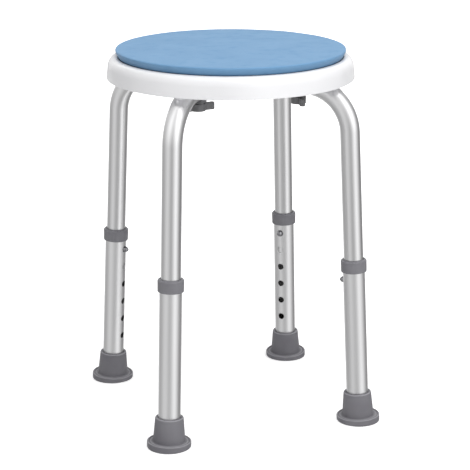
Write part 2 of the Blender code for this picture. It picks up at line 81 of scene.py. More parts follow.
def rounded(corners, steps=6):
    """Points of an outline of (x, y) and (x, y, fillet) corners, eased at most to half an edge."""
    points = []
    for i, (x, y, *fillet) in enumerate(corners):
        here = Vector((x, y))
        if not fillet or i in (0, len(corners) - 1):
            points.append((x, y))
            continue
        to_last = Vector(corners[i - 1][:2]) - here
        to_next = Vector(corners[i + 1][:2]) - here
        start = here + to_last.normalized() * min(*fillet, to_last.length * 0.49)
        end = here + to_next.normalized() * min(*fillet, to_next.length * 0.49)
        for k in range(steps + 1):
            t = k / steps
            point = start * (1 - t) ** 2 + here * (2 * t * (1 - t)) + end * t ** 2
            points.append((point.x, point.y))
    return points


def joined(bm, ring, following):
    """Faces between two rings of vertices; a ring of one vertex closes to a point."""
    count = max(len(ring), len(following))
    for i in range(count):
        j = (i + 1) % count
        if len(ring) == 1:
            bm.faces.new((ring[0], following[j], following[i]))
        elif len(following) == 1:
            bm.faces.new((ring[i], ring[j], following[0]))
        else:
            bm.faces.new((ring[i], ring[j], following[j], following[i]))


def given(thing, **settings):
    """Set properties of the thing and hand it back."""
    for key, value in settings.items():
        setattr(thing, key, value)
    return thing


def linked(name, data):
    """A new object of the scene."""
    made = bpy.data.objects.new(name, data)
    bpy.context.scene.collection.objects.link(made)
    return made


def finished_piece(name, bm, place, sharp=smooth_below):
    """A linked object at the origin whose mesh lies where the place matrix puts it."""
    bmesh.ops.recalc_face_normals(bm, faces=bm.faces)
    mesh = bpy.data.meshes.new(name)
    bm.to_mesh(mesh)
    bm.free()
    mesh.transform(place)
    mesh.shade_smooth()
    mesh.set_sharp_from_angle(angle=math.radians(sharp))
    return linked(name, mesh)


def polar(radius, turn):
    return radius * math.cos(turn), radius * math.sin(turn)


def lathe(name, profile, segments, place=Matrix(), sharp=smooth_below):
    """A profile of (radius, height) turned about Z; off the axis at both ends it closes on itself."""
    bm = bmesh.new()
    rings = []
    for radius, height in profile:
        count = segments if radius > 1e-7 else 1
        rings.append([bm.verts.new((*polar(radius, 2 * math.pi * k / segments), height))
                      for k in range(count)])
    for ring, following in zip(rings, rings[1:]):
        joined(bm, ring, following)
    if len(rings[0]) > 1 and len(rings[-1]) > 1:
        joined(bm, rings[-1], rings[0])
    return finished_piece(name, bm, place, sharp)


def preset(node, values):
    """Set the node's entries by name."""
    for key, value in values.items():
        node.inputs[key].default_value = value


def new_material(name, roughness, metallic=0.0):
    """A material with its node tree and its shader."""
    made = bpy.data.materials.new(name)
    made.use_nodes = True
    shader = made.node_tree.nodes["Principled BSDF"]
    preset(shader, {"Roughness": roughness, "Metallic": metallic})
    return made, made.node_tree, shader


def sockets(tree, way, **kinds):
    """Give a node group its inputs or outputs."""
    for name, kind in kinds.items():
        tree.interface.new_socket(name=name, in_out=way, socket_type="NodeSocket" + kind)


def wire(source, output, target, entry):
    source.id_data.links.new(source.outputs[output], target.inputs[entry])


def add(tree, kind, wires=(), **settings):
    """A new node with its settings, and wires of (source, output, entry) into it."""
    made = given(tree.nodes.new(kind), **settings)
    for source, output, entry in wires:
        wire(source, output, made, entry)
    return made


def noise(source, output, scale, detail=2.0):
    node = add(source.id_data, "ShaderNodeTexNoise", [(source, output, "Vector")])
    preset(node, {"Scale": scale, "Detail": detail})
    return node


def ramp(source, output, stops):
    """A colour ramp with the given (position, colour) stops."""
    node = add(source.id_data, "ShaderNodeValToRGB", [(source, output, "Fac")])
    for i, (position, colour) in enumerate(stops):
        stop = node.color_ramp.elements[i] if i < 2 else node.color_ramp.elements.new(position)
        stop.position = position
        stop.color = (*colour, 1.0)
    return node


def spread(source, output, low, high, from_low=0.0, from_high=1.0):
    """Map a value from one range to another."""
    node = add(source.id_data, "ShaderNodeMapRange", [(source, output, "Value")])
    preset(node, {"From Min": from_low, "From Max": from_high, "To Min": low, "To Max": high})
    return node


def surface_group(name, scales, details, sharpening):
    """Noises for a surface's relief, tone and sharpened marks; a scale that is a name is an input."""
    group = bpy.data.node_groups.new(name, "ShaderNodeTree")
    sockets(group, "INPUT", Vector="Vector", **{scale: "Float" for scale in scales if isinstance(scale, str)})
    layers = ("Height", "Tone", "Marks")
    sockets(group, "OUTPUT", **dict.fromkeys(layers, "Float"))
    entry = add(group, "NodeGroupInput")
    leave = add(group, "NodeGroupOutput")
    for layer, scale, detail in zip(layers, scales, details):
        named = isinstance(scale, str)
        pattern = noise(entry, "Vector", 1.0 if named else scale, detail)
        if named:
            wire(entry, scale, pattern, "Scale")
        if layer == "Marks":
            pattern = spread(pattern, 0, 0.0, 1.0, *sharpening)
        wire(pattern, 0, leave, layer)
    return group


def surface_material(name, group, scales, tones, roughness, marked, relief, metallic=0.0, attribute=None):
    """A material with a surface group's tone, gloss and relief, laid over the piece or along the path that
    its mesh keeps as an attribute; its nodes are handed back by name."""
    made, tree, shader = new_material(name, roughness, metallic)
    if attribute:
        place, laid = add(tree, "ShaderNodeAttribute", attribute_name=attribute), "Vector"
    else:
        place, laid = add(tree, "ShaderNodeTexCoord"), "Object"
    skin = add(tree, "ShaderNodeGroup", [(place, laid, "Vector")], node_tree=group)
    preset(skin, scales)
    tone = ramp(skin, "Tone", tones)
    wire(tone, "Color", shader, "Base Color")
    gloss = spread(skin, "Marks", roughness + marked[0], roughness + marked[1])
    wire(gloss, "Result", shader, "Roughness")
    bump = add(tree, "ShaderNodeBump", [(skin, "Height", "Height")])
    preset(bump, relief)
    wire(bump, "Normal", shader, "Normal")
    return made, {"shader": shader, "place": place, "tone": tone, "gloss": gloss, "bump": bump}


moulded_skin = surface_group("moulded_skin", ("Grain", "Drift", 60.0), (3.0, 2.0, 6.0), (0.52, 0.72))


def moulded_material(name, dark, light, roughness, grain, depth, drift=9.0, scuffed=0.10):
    """A moulded plastic, rubber or foam: fine mould grain, slow drift of tone and faint handling scuffs."""
    tones = ((0.32, dark), (0.68, light))
    return surface_material(name, moulded_skin, {"Grain": grain, "Drift": drift}, tones, roughness,
                            (-scuffed / 2, scuffed), {"Strength": 0.35, "Distance": depth})


white_shell, white = moulded_material("white_shell_satin", (0.662, 0.662, 0.676), (0.704, 0.704, 0.718),
                                      roughness=0.36, grain=1400.0, depth=0.00006)
preset(white["shader"], {"Subsurface Weight": 0.06, "Subsurface Radius": (0.004, 0.004, 0.004)})


def shell_section():
    """The shell's section, from the skirt's inner edge round the outside and back under the deck."""
    waist = rim_top - shoulder_rise
    outside = [(skirt_inside + skirt_draft, skirt_bottom), (shell_radius, skirt_bottom, 0.0012)]
    for k in range(shoulder_steps + 1):
        turn = math.pi / 2 * k / shoulder_steps
        outside.append((rim_radius + shoulder_run * math.cos(turn),
                        waist + shoulder_rise * math.sin(turn)))
    boss = boss_bore + boss_wall
    inside = [(rim_radius - rim_width, rim_top, 0.0011), (rim_radius - rim_width, deck_top, 0.0010),
              (boss_bore, deck_top, 0.0006), (boss_bore, boss_bottom, 0.0005), (boss, boss_bottom, 0.0010),
              (boss + boss_draft, deck_bottom, 0.0022), (skirt_inside, deck_bottom, 0.0030)]
    return rounded(outside + inside + [outside[0]])[:-1]


def dress(piece, material, body, slot, *nodes):
    """Give a piece its finish and the body it moves with, and hide the plain solids it stands for."""
    piece.data.materials.clear()
    piece.data.materials.append(material)
    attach(piece, body)
    if nodes:
        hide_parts(*nodes)


shell = lathe("shell_moulding", shell_section(), seat_segments)

# Shell ribs: walls moulded on the underside of the deck, four straight ribs and four channels with
# cradles that the leg tubes lie in. They are one with the shell and thin enough not to sink its face.
rib_thick = 0.0030
rib_height = 0.0145
rib_sunk = 0.0010
rib_ease = 0.0004
channel_wall = 0.0150
cradle_thick = 0.0040
cradle_radii = (0.0680, 0.1075)
tube_radius = 0.0127
clearance = 0.0003
run_height = 0.4450
stud_low, stud_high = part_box("knob_stud_front_left")
knob_circle = ((Vector(stud_low) + Vector(stud_high)) / 2).xy.length
leg_count = 4
first_leg = math.radians(45.0)
leg_turns = [first_leg + 2 * math.pi * k / leg_count for k in range(leg_count)]


def spokes_tree():
    """Blocks standing in a ring, all alike, like the ribs of a moulding."""
    tree = bpy.data.node_groups.new("moulded_spokes", "GeometryNodeTree")
    sockets(tree, "INPUT", Count="Int", Size="Vector", Middle="Vector", Start="Float", Material="Material")
    sockets(tree, "OUTPUT", Geometry="Geometry")
    entry = add(tree, "NodeGroupInput")
    block = add(tree, "GeometryNodeMeshCube", [(entry, "Size", "Size")])
    moved = add(tree, "GeometryNodeTransform",
                [(block, "Mesh", "Geometry"), (entry, "Middle", "Translation")])
    points = add(tree, "GeometryNodePoints", [(entry, "Count", "Count")])
    step = add(tree, "ShaderNodeMath", [(entry, "Count", 1)], operation="DIVIDE")
    step.inputs[0].default_value = 2 * math.pi
    index = add(tree, "GeometryNodeInputIndex")
    turn = add(tree, "ShaderNodeMath", [(index, 0, 0), (step, 0, 1), (entry, "Start", 2)],
               operation="MULTIPLY_ADD")
    angles = add(tree, "ShaderNodeCombineXYZ", [(turn, 0, "Z")])
    rotation = add(tree, "FunctionNodeEulerToRotation", [(angles, 0, 0)])
    placed = add(tree, "GeometryNodeInstanceOnPoints",
                 [(points, 0, "Points"), (moved, 0, "Instance"), (rotation, 0, "Rotation")])
    real = add(tree, "GeometryNodeRealizeInstances", [(placed, 0, 0)])
    painted = add(tree, "GeometryNodeSetMaterial", [(real, 0, "Geometry"), (entry, "Material", "Material")])
    add(tree, "NodeGroupOutput", [(painted, 0, "Geometry")])
    return tree


spokes = spokes_tree()


def settled(piece):
    """Apply the piece's modifiers to its mesh."""
    graph = bpy.context.evaluated_depsgraph_get()
    mesh = bpy.data.meshes.new_from_object(piece.evaluated_get(graph))
    piece.modifiers.clear()
    piece.data = mesh


def grown(name, tree, **values):
    """Run a geometry tree with its inputs set by name and keep the result as a plain mesh."""
    keys = {item.name: item.identifier for item in tree.interface.items_tree if item.in_out == "INPUT"}
    host = linked(name, bpy.data.meshes.new(name))
    modifier = given(host.modifiers.new(name, "NODES"), node_group=tree)
    for key, value in values.items():
        modifier[keys[key]] = value
    settled(host)
    return host


def eased(piece, width, segments=2, sharp=30.0):
    """Break the piece's sharp edges with a small bevel."""
    given(piece.modifiers.new("eased_edges", "BEVEL"), width=width, segments=segments, limit_method="ANGLE",
          angle_limit=math.radians(sharp))
    settled(piece)
    piece.data.shade_smooth()
    piece.data.set_sharp_from_angle(angle=math.radians(smooth_below))


def merged(name, pieces):
    """Join plain pieces into one object."""
    bm = bmesh.new()
    for piece in pieces:
        bm.from_mesh(piece.data)
        bpy.data.objects.remove(piece, do_unlink=True)
    return finished_piece(name, bm, Matrix())


def cut(piece, tools):
    """Take the tools' volumes out of the piece."""
    for tool in tools:
        given(piece.modifiers.new("cut", "BOOLEAN"), operation="DIFFERENCE", object=tool)
    settled(piece)
    for tool in tools:
        bpy.data.objects.remove(tool, do_unlink=True)


def rod(name, radius, low, high, place, segments=48):
    return lathe(name, ((0, low), (radius, low), (radius, high), (0, high)), segments, place)


def around(turn, radius=0.0, height=0.0):
    """A level frame at an angle round the stool axis, with X pointing outward."""
    return Matrix.Rotation(turn, 4, "Z") @ Matrix.Translation((radius, 0, height))


def shell_ribs():
    """All walls under the deck, hollowed where the tubes lie."""
    hub = boss_bore + boss_wall - rib_sunk
    length = skirt_inside + rib_sunk - hub
    tall = rib_height + rib_sunk
    level = deck_bottom - rib_height + tall / 2
    common = {"Count": leg_count, "Material": white_shell}
    wall = (length, rib_thick, tall)
    side = channel_wall + rib_thick / 2
    parts = [grown(name, spokes, Size=wall, Middle=(hub + length / 2, aside, level), Start=start, **common)
             for name, aside, start in (("straight_ribs", 0.0, 0.0), ("left_walls", side, first_leg),
                                        ("right_walls", -side, first_leg))]
    cradle = (cradle_thick, 2 * channel_wall, tall)
    parts += [grown("cradles", spokes, Size=cradle, Middle=(radius, 0.0, level), Start=first_leg, **common)
              for radius in cradle_radii]
    ribs = merged("shell_ribs", parts)
    reach = (boss_bore + boss_wall, shell_radius)
    lying = Matrix.Rotation(math.pi / 2, 4, "Y")
    cut(ribs, [rod("room", tube_radius + clearance, *reach, around(turn, 0, run_height) @ lying)
               for turn in leg_turns])
    eased(ribs, rib_ease)
    return ribs


dress(shell_ribs(), white_shell, "frame", "white_shell")

# Knob posts: hollow bosses between the deck and the tubes, one over each knob, with a stud hole that
# widens to a hexagon pocket for the nut. They belong to the shell moulding, so shell and posts are cut alike.
post_radius = 0.0130
post_draft = 0.0004
post_foot = run_height + tube_radius + clearance
stud_hole = 0.0043
pocket_flats = 0.0136
pocket_floor = 0.0050


def nut_pockets():
    """Cutters for the hexagon pockets of the four nuts."""
    low = post_foot + pocket_floor
    radius = pocket_flats / math.sqrt(3)
    return [rod("pocket", radius, low, rim_top, around(turn, knob_circle), 6) for turn in leg_turns]


def knob_posts():
    post_top = deck_bottom + rib_sunk
    section = rounded(((stud_hole, post_foot), (post_radius, post_foot, 0.0006),
                       (post_radius + post_draft, post_top), (stud_hole, post_top)))
    return merged("knob_posts", [lathe("post", section, 48, around(turn, knob_circle)) for turn in leg_turns])


posts = knob_posts()
for moulding in (shell, posts):
    cut(moulding, nut_pockets())
dress(posts, white_shell, "frame", "white_shell")
dress(shell, white_shell, "frame", "white_shell", "seat_shell")

# Pivot: an acetal bush and glide ring in the shell, and the dark moulded turntable that turns on them.
# A steel washer and a socket screw hold the turntable's hub from below.
_, glide_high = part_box("glide_ring")
plate_low, plate_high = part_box("turntable")
washer_low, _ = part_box("pivot_washer")
screw_low, screw_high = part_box("pivot_screw")
hub_radius = 0.0150
glide_width = 0.0160
plate_bottom = glide_high[2] + clearance
screw_radius = 0.0030
screw_room = 0.0033
screw_depth = screw_high[2] + clearance
socket_radius = 0.0029
socket_depth = 0.0028
cut_past = 0.0010
bearing_plastic, _ = moulded_material("bearing_plastic", (0.50, 0.50, 0.47), (0.58, 0.58, 0.55),
                                      roughness=0.32, grain=900.0, depth=0.00003)
turntable_plastic, _ = moulded_material("turntable_navy", (0.050, 0.088, 0.155), (0.062, 0.104, 0.178),
                                        roughness=0.48, grain=1200.0, depth=0.00006)
drawn_lines = surface_group("drawn_lines", ("Lines", 160.0, 420.0), (4.0, 2.0, 5.0), (0.56, 0.74))


def metal_material(name, dark, light, roughness, lines, depth, attribute=None):
    """A drawn or turned metal: fine lines, slow drift of tone and small handling marks."""
    return surface_material(name, drawn_lines, {"Lines": lines}, ((0.30, dark), (0.70, light)), roughness,
                            (-0.02, 0.03), {"Strength": 0.15, "Distance": depth}, 1.0, attribute)


zinc_steel, _ = metal_material("zinc_steel", (0.50, 0.50, 0.51), (0.60, 0.60, 0.61), roughness=0.30,
                               lines=700.0, depth=0.00002)


def plain_ring(name, node, inner, ease, segments):
    """A ring in the place of a node, with eased edges and a bore of the given radius."""
    low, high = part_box(node)
    outer, bottom, top = high[0], low[2], high[2]
    seam = (inner, (bottom + top) / 2)
    corners = ((inner, bottom, ease), (outer, bottom, ease), (outer, top, ease), (inner, top, ease))
    return lathe(name, rounded((seam, *corners, seam), 3)[:-1], segments)


bush = plain_ring("bush_turned", "pivot_bush", hub_radius + clearance, 0.0004, 96)
dress(bush, bearing_plastic, "frame", "bearing_plastic", "pivot_bush")
glide = plain_ring("glide_moulding", "glide_ring", glide_high[0] - glide_width, 0.0003, 160)
dress(glide, bearing_plastic, "frame", "bearing_plastic", "glide_ring")
plate_section = rounded(((0, plate_high[2]), (plate_high[0], plate_high[2], 0.0012),
                         (plate_high[0], plate_bottom, 0.0006), (hub_radius, plate_bottom, 0.0006),
                         (hub_radius, plate_low[2], 0.0006), (screw_room, plate_low[2], 0.0003),
                         (screw_room, screw_depth), (0, screw_depth)), 4)
turntable = lathe("turntable_moulding", plate_section, seat_segments)
dress(turntable, turntable_plastic, "swivel_seat", "turntable_plastic", "turntable")
washer = plain_ring("washer_pressed", "pivot_washer", screw_room, 0.0004, 96)
dress(washer, zinc_steel, "swivel_seat", "steel", "pivot_washer")


def socket_screw():
    """Low-headed machine screw with a hexagon socket."""
    head_top = washer_low[2] - clearance
    bottom = screw_low[2]
    head = screw_high[0]
    section = rounded(((0, bottom), (head, bottom, 0.0018), (head, head_top, 0.0003),
                       (screw_radius, head_top), (screw_radius, screw_high[2], 0.0006),
                       (0, screw_high[2])), 5)
    made = lathe("pivot_socket_screw", section, 64)
    cut(made, [rod("socket", socket_radius, bottom - cut_past, bottom + socket_depth, Matrix(), 6)])
    return made


dress(socket_screw(), zinc_steel, "swivel_seat", "steel", "pivot_screw")

# Seat pad: a round of closed-cell foam with a soft edge, cut under, and a faint crown, glued to the
# turntable; its lip sags round the plate's edge. The skin is matte blue with a fine leather-like pebble.
pad_low, pad_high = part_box("seat_pad")
pad_radius = pad_high[0]
pad_crown = 0.0008
pad_edge = 0.0030
pad_belly = 0.0054
pad_undercut = 0.0037
pad_sag = 0.0008
pad_flat_from = 0.0072
pad_wave = 0.00010
pad_lift = 0.00004
pad_rings = 28
pad_segments = 256
pad_blue_dark = (0.111, 0.240, 0.402)
pad_blue_light = (0.128, 0.260, 0.424)


def pad_unevenness(x, y):
    """Slow rise and fall of the foam's face, in metres."""
    return pad_wave * (math.sin(41 * x + 1.3) * math.cos(37 * y + 0.4) + 0.6 * math.sin(83 * y - 57 * x))


def foam_pad():
    """The pad's closed form: flat where it is glued, a lip, an undercut side, a soft top edge and a crown."""
    bottom, top = pad_low[2], pad_high[2] - 2 * pad_wave
    shoulder = top - pad_crown
    flat = pad_radius - pad_flat_from
    belly = bottom + pad_belly
    lip = plate_high[0] + pad_sag
    profile = rounded(((0, bottom), (lip, bottom), (lip + pad_sag, bottom - pad_sag),
                       (pad_radius - pad_undercut, bottom - pad_sag, 0.0006), (pad_radius, belly, 0.0020),
                       (pad_radius, shoulder, pad_edge), (flat, shoulder + pad_lift)), 8)
    for k in range(1, pad_rings):
        reach = 1 - k / pad_rings
        profile.append((flat * reach, top - pad_crown * reach ** 2))
    profile.append((0, top))
    made = lathe("foam_pad", profile, pad_segments, sharp=60.0)
    for vert in made.data.vertices:
        if vert.co.z > shoulder - pad_edge:
            vert.co.z += pad_unevenness(vert.co.x, vert.co.y)
    return made


def pad_material():
    """Matte foam skin: a pebble from small cells under the fine grain, and a soft sheen."""
    made, nodes = moulded_material("pad_foam_blue", pad_blue_dark, pad_blue_light, roughness=0.62,
                                   grain=520.0, depth=0.00012, drift=26.0, scuffed=0.08)
    cells = add(made.node_tree, "ShaderNodeTexVoronoi", [(nodes["place"], "Object", "Vector")])
    preset(cells, {"Scale": 620.0})
    pebble = add(made.node_tree, "ShaderNodeBump", [(cells, "Distance", "Height")])
    preset(pebble, {"Strength": 0.55, "Distance": 0.00014})
    wire(pebble, "Normal", nodes["bump"], "Normal")
    preset(nodes["shader"], {"Specular IOR Level": 0.35, "Sheen Weight": 0.05, "Sheen Roughness": 0.5})
    return made


pad = foam_pad()
dress(pad, pad_material(), "swivel_seat", "pad_foam", "seat_pad")

# Upper legs: drawn aluminium tube, bent once so that its top lies level under the seat, satin anodised.
# The drawn lines follow the tube through its bend, where the stretched metal is a little rougher.
tube_bore = 0.0115
tube_segments = 64
bend_radius = 0.0600
straight_steps = 12
bend_steps = 28
run_steps = 6
bend_roughness = 0.06
bend_ease = 0.050
run_inner = 0.0600
tube_end = 0.1544
tube_ease = 0.0003
button_level = 0.1924
button_hole = 0.0044
cut_reach = 0.0200
line_squeeze = 0.03
soles = {mount["name"][len("sole_"):]: Vector(mount["pos_m"]) for mount in frame["record"]["mounts"]}
slides = {joint["child"][len("lower_leg_"):]: Vector(joint["axis"]) for joint in frame["joints"]
          if joint["name"].startswith("leg_height_")}


def leg_place(tag):
    """Frame with its origin under the leg, Z up the leg and X toward the stool axis."""
    up = slides[tag].normalized()
    side = up.cross(Vector((-soles[tag].x, -soles[tag].y, 0))).normalized()
    return Matrix.Translation(soles[tag]) @ Matrix((side.cross(up), side, up)).transposed().to_4x4()


leg_tilt = math.acos(slides["front_left"].normalized().z)
foot_circle = soles["front_left"].xy.length
bend_turn = math.pi / 2 - leg_tilt
bend_tangent = bend_radius * math.tan(bend_turn / 2)
bend_start = run_height / math.cos(leg_tilt) - bend_tangent
run_length = foot_circle - run_height * math.tan(leg_tilt) - bend_tangent - run_inner


def tube_path():
    """Stations of (centre, tangent, distance along) in the leg's own frame."""
    up = Vector((0, 0, 1))
    straight = bend_start - tube_end
    stations = []
    for k in range(straight_steps):
        distance = straight * k / straight_steps
        stations.append((up * (tube_end + distance), up, distance))
    for k in range(bend_steps + 1):
        turn = bend_turn * k / bend_steps
        centre = Vector((bend_radius * (1 - math.cos(turn)), 0, bend_start + bend_radius * math.sin(turn)))
        stations.append((centre, Vector((math.sin(turn), 0, math.cos(turn))), straight + bend_radius * turn))
    end, along, distance = stations[-1]
    for k in range(1, run_steps + 1):
        further = run_length * k / run_steps
        stations.append((end + along * further, along, distance + further))
    return stations


def drawn_tube(name, stations, outer, bore, place):
    """A tube with eased ends along the stations; 'drawn_path' keeps each point's place on the tube."""
    bm = bmesh.new()
    path = bm.verts.layers.float_vector.new("drawn_path")
    side = Vector((0, 1, 0))
    first, last = stations[0], stations[-1]
    inset = ((first[0] + first[1] * tube_ease, *first[1:]), (last[0] - last[1] * tube_ease, *last[1:]))
    outside = [(station, outer) for station in (inset[0], *stations[1:-1], inset[1])]
    inside = [(station, bore) for station in (inset[1], *reversed(stations[1:-1]), inset[0])]
    far_end = [(last, outer - tube_ease), (last, bore + tube_ease)]
    near_end = [(first, bore + tube_ease), (first, outer - tube_ease)]
    rings = []
    for (centre, tangent, distance), radius in outside + far_end + inside + near_end:
        normal = side.cross(tangent)
        ring = []
        for k in range(tube_segments):
            turn = 2 * math.pi * k / tube_segments
            across = polar(radius, turn)
            vert = bm.verts.new(centre + normal * across[0] + side * across[1])
            vert[path] = (*across, distance * line_squeeze)
            ring.append(vert)
        rings.append(ring)
    for ring, following in zip(rings, rings[1:] + rings[:1]):
        joined(bm, ring, following)
    return finished_piece(name, bm, place)


def tube_material():
    """Satin anodised aluminium, rougher from the start of the bend on."""
    made, nodes = metal_material("satin_aluminium", (0.62, 0.62, 0.625), (0.66, 0.66, 0.665), roughness=0.30,
                                 lines=1500.0, depth=0.00001, attribute="drawn_path")
    along = add(made.node_tree, "ShaderNodeSeparateXYZ", [(nodes["place"], "Vector", "Vector")])
    straight = (bend_start - tube_end) * line_squeeze
    stretched = spread(along, "Z", 0.0, bend_roughness, straight, straight + bend_ease * line_squeeze)
    total = add(made.node_tree, "ShaderNodeMath", [(nodes["gloss"], "Result", 0), (stretched, "Result", 1)])
    wire(total, 0, nodes["shader"], "Roughness")
    return made


satin_aluminium = tube_material()


def leg_side(tag):
    """The leg's angle round the stool axis."""
    return math.atan2(soles[tag].y, soles[tag].x)


def button_place(tag):
    """Frame on the button's axis, Z pointing out of the leg toward the stool axis."""
    return leg_place(tag) @ Matrix.Translation((0, 0, button_level)) @ Matrix.Rotation(math.pi / 2, 4, "Y")


for tag in soles:
    upper = drawn_tube("upper_tube_" + tag, tube_path(), tube_radius, tube_bore, leg_place(tag))
    knob_axis = around(leg_side(tag), knob_circle, run_height)
    cut(upper, [rod("stud_room", stud_hole, -cut_reach, cut_reach, knob_axis),
                rod("button_room", button_hole, 0, cut_reach, button_place(tag), 32)])
    dress(upper, satin_aluminium, "frame", "tube_aluminium", "leg_upper_" + tag)

# Lower legs: aluminium sleeves that the upper tubes slide in, with a row of punched holes on the inner
# side for the height setting. The punch leaves a slightly rolled edge round each hole.
sleeve_radius = 0.0143
sleeve_bore = 0.0130
sleeve_bottom = 0.0102
sleeve_top = 0.2184
hole_pitch = 0.0254
hole_count = 6
patch_half = 0.0075
patch_cells = 8
plain_columns = 44
rolled_edge = 0.0003
patch_shares = (0.45, 0.8, 1.0)
matt_aluminium, _ = metal_material("matt_aluminium", (0.64, 0.64, 0.645), (0.68, 0.68, 0.685), roughness=0.42,
                                   lines=1500.0, depth=0.00001, attribute="drawn_path")


def on_skin(radius, across, height):
    """A point on the inner side of a round skin, at a distance across and a height."""
    return Vector((math.sqrt(radius ** 2 - across ** 2), across, height))


patch_ticks = [-patch_half + 2 * patch_half / patch_cells * k for k in range(patch_cells + 1)]
patch_border = [(0, k) for k in range(patch_cells)] + [(k, patch_cells) for k in range(patch_cells)]
patch_border += [(patch_cells - row, patch_cells - column) for row, column in patch_border]


def path_vertex(bm, path, place):
    """A vertex that keeps its place on the tube for the drawn lines."""
    vert = bm.verts.new(place)
    vert[path] = (vert.co.x, vert.co.y, vert.co.z * line_squeeze)
    return vert


def punched_skin(bm, path, radius, low, high, centres, hole):
    """One skin of the sleeve with its holes left open; returns its end rings and hole rings."""
    edge = math.asin(patch_half / radius)
    plain = [edge + (2 * math.pi - 2 * edge) * k / plain_columns for k in range(1, plain_columns)]
    levels = [low, *(centre + tick for centre in centres for tick in patch_ticks), high]
    patches = range(1, len(levels) - 1, patch_cells + 1)
    grid = {}
    for row, level in enumerate(levels):
        at_hole = any(first < row < first + patch_cells for first in patches)
        for column, across in enumerate(patch_ticks):
            if not (at_hole and 0 < column < patch_cells):
                grid[row, column] = path_vertex(bm, path, on_skin(radius, across, level))
        for column, turn in enumerate(plain, patch_cells + 1):
            grid[row, column] = path_vertex(bm, path, (*polar(radius, turn), level))
    columns = patch_cells + plain_columns
    for row in range(len(levels) - 1):
        at_hole = any(first <= row < first + patch_cells for first in patches)
        for column in range(columns):
            if not (at_hole and column < patch_cells):
                beside = (column + 1) % columns
                corners = ((row, column), (row, beside), (row + 1, beside), (row + 1, column))
                bm.faces.new([grid[corner] for corner in corners])
    rings = []
    for first, centre in zip(patches, centres):
        border = [(first + row, column) for row, column in patch_border]
        last = [grid[corner] for corner in border]
        for share in patch_shares:
            ring = []
            for row, column in border:
                across, level = patch_ticks[column], levels[row]
                turn = math.atan2(level - centre, across)
                goal = Vector((hole * math.cos(turn), centre + hole * math.sin(turn)))
                spot = Vector((across, level)).lerp(goal, share)
                ring.append(path_vertex(bm, path, on_skin(radius, *spot)))
            joined(bm, last, ring)
            last = ring
        rings.append(last)
    ends = [[grid[row, column] for column in range(columns)] for row in (0, len(levels) - 1)]
    return ends, rings


def sleeve(name, place):
    """A punched sleeve: two skins, rolled hole edges and eased ends."""
    bm = bmesh.new()
    path = bm.verts.layers.float_vector.new("drawn_path")
    centres = sorted(button_level - hole_pitch * k for k in range(hole_count))
    span = (sleeve_bottom + rolled_edge, sleeve_top - rolled_edge)
    outer_ends, outer_holes = punched_skin(bm, path, sleeve_radius, *span, centres, button_hole + rolled_edge)
    inner_ends, inner_holes = punched_skin(bm, path, sleeve_bore, *span, centres, button_hole)
    throat_radius = sleeve_radius - rolled_edge
    for outer, inner in zip(outer_holes, inner_holes):
        throat = [path_vertex(bm, path, on_skin(throat_radius, *vert.co.yz)) for vert in inner]
        joined(bm, outer, throat)
        joined(bm, throat, inner)
    for outer, inner, level in zip(outer_ends, inner_ends, (sleeve_bottom, sleeve_top)):
        rims = []
        shrinks = (1 - rolled_edge / sleeve_radius, 1 + rolled_edge / sleeve_bore)
        for ring, shrink in zip((outer, inner), shrinks):
            rim = [path_vertex(bm, path, (*(vert.co.xy * shrink), level)) for vert in ring]
            joined(bm, ring, rim)
            rims.append(rim)
        joined(bm, *rims)
    return finished_piece(name, bm, place)


for tag in soles:
    lower = sleeve("sleeve_" + tag, leg_place(tag))
    dress(lower, matt_aluminium, "lower_leg_" + tag, "tube_aluminium", "leg_lower_" + tag)

# Collars: grey moulded caps pushed over the tops of the sleeves. Each has a rounded upper edge and a
# lip with an eased mouth that guides the upper tube.
sleeve_socket = 0.0146
collar_wall = 0.0022
collar_skirt = 0.0140
collar_lip = 0.0027
collar_slope = 0.0020
collar_draft = 0.0001
collar_seat = sleeve_top + clearance
collar_inside = collar_seat - 0.0050
grey_moulding, grey = moulded_material("grey_moulding", (0.147, 0.145, 0.159), (0.174, 0.172, 0.186),
                                       roughness=0.50, grain=1100.0, depth=0.00008, drift=30.0)
preset(grey["shader"], {"Specular IOR Level": 0.25})
collar_outer = sleeve_socket + collar_wall
collar_foot = collar_seat - collar_skirt
collar_top = collar_seat + collar_lip
collar_section = rounded(((sleeve_socket, collar_inside), (sleeve_socket, collar_foot, 0.0004),
                          (collar_outer - collar_draft, collar_foot, 0.0010),
                          (collar_outer + collar_draft, collar_top - collar_slope, 0.0006),
                          (collar_outer - collar_slope, collar_top, 0.0006),
                          (sleeve_bore, collar_top, 0.0004), (sleeve_bore, collar_seat, 0.0003),
                          (sleeve_socket, collar_seat), (sleeve_socket, collar_inside)), 6)[:-1]
for tag in soles:
    cap = lathe("collar_cap_" + tag, collar_section, 96, leg_place(tag))
    dress(cap, grey_moulding, "lower_leg_" + tag, "grey_plastic", "collar_" + tag)

# Feet: grey rubber mouldings pushed on the sleeves, a cone above and a wide flange below, a painted highlight
# lightening their rims. The sole is level on the floor although the leg leans, and has ring-shaped treads.
foot_radius = 0.0285
foot_flange = 0.0074
foot_height = 0.0395
foot_top = 0.0183
foot_waist = 0.0205
foot_sole = 0.0080
foot_step = 0.0007
foot_rim = 0.0014
foot_bead = 0.0018
foot_groove = 0.0033
foot_mouth = 0.0005
foot_draft = 0.0002
foot_slope = 0.0003
bead_slope = 0.0004
tread_depth = 0.0010
tread_rings = 4
tread_gap = 0.35
tread_ease = 0.0003
tread_margin = 0.0030
sole_rim = 0.0022
foot_ring = foot_radius - foot_step
# Rims of the feet that get a painted highlight, how far it fades, and its paler grey.
foot_rims = ((foot_ring, foot_flange), (foot_ring - foot_groove, foot_flange),
             (foot_top - foot_rim / 2, foot_height - foot_rim / 2))
rim_highlight_reach = 0.0012
rim_highlight_grey = (0.290, 0.286, 0.304, 1.0)


